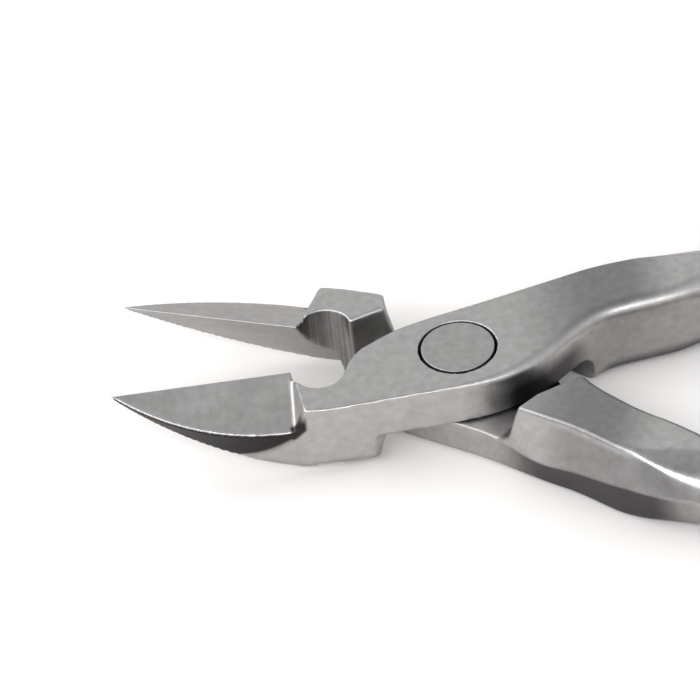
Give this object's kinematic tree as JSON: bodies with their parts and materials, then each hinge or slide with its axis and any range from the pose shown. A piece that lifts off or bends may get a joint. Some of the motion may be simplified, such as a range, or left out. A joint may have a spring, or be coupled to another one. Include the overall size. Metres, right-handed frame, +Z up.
{
  "type": "nail nipper",
  "caption": "Lap-joint nail nipper with pointed straight cutting jaws, a flush pivot screw and two curved handles held open by a pair of leaf springs.",
  "frame": {"origin": "centre of the pivot screw's flush lower end, on the plane that the tool rests on", "axes": "+Z up along the pivot's axis, +X from the pivot towards the handles, jaws towards -X, +Y across the tool"},
  "size_m": [0.116, 0.0606, 0.0056],
  "materials": {
    "satin_steel": "satin ground stainless steel, brushed across the bevels, polished towards the handles",
    "pivot_steel": "flush ground stainless steel",
    "spring_steel": "bright tempered spring strip",
    "screw_steel": "polished slotted screw head"
  },
  "bodies": {
    "back": {"back_arm": "satin_steel", "pivot_screw": "pivot_steel", "back_spring_leaf": "spring_steel", "back_spring_screw": "screw_steel"},
    "front": {"front_arm": "satin_steel", "front_spring_leaf": "spring_steel", "front_spring_screw": "screw_steel"}
  },
  "joints": [
    {"name": "pivot", "type": "hinge", "parent": "back", "child": "front", "pos_m": [0, 0, 0], "axis": [0, 0, 1], "range_deg": [-21.5, 6], "stiffness_Nm_per_rad": 1.2, "deforming": ["front_spring_leaf", "back_spring_leaf"]}
  ]
}
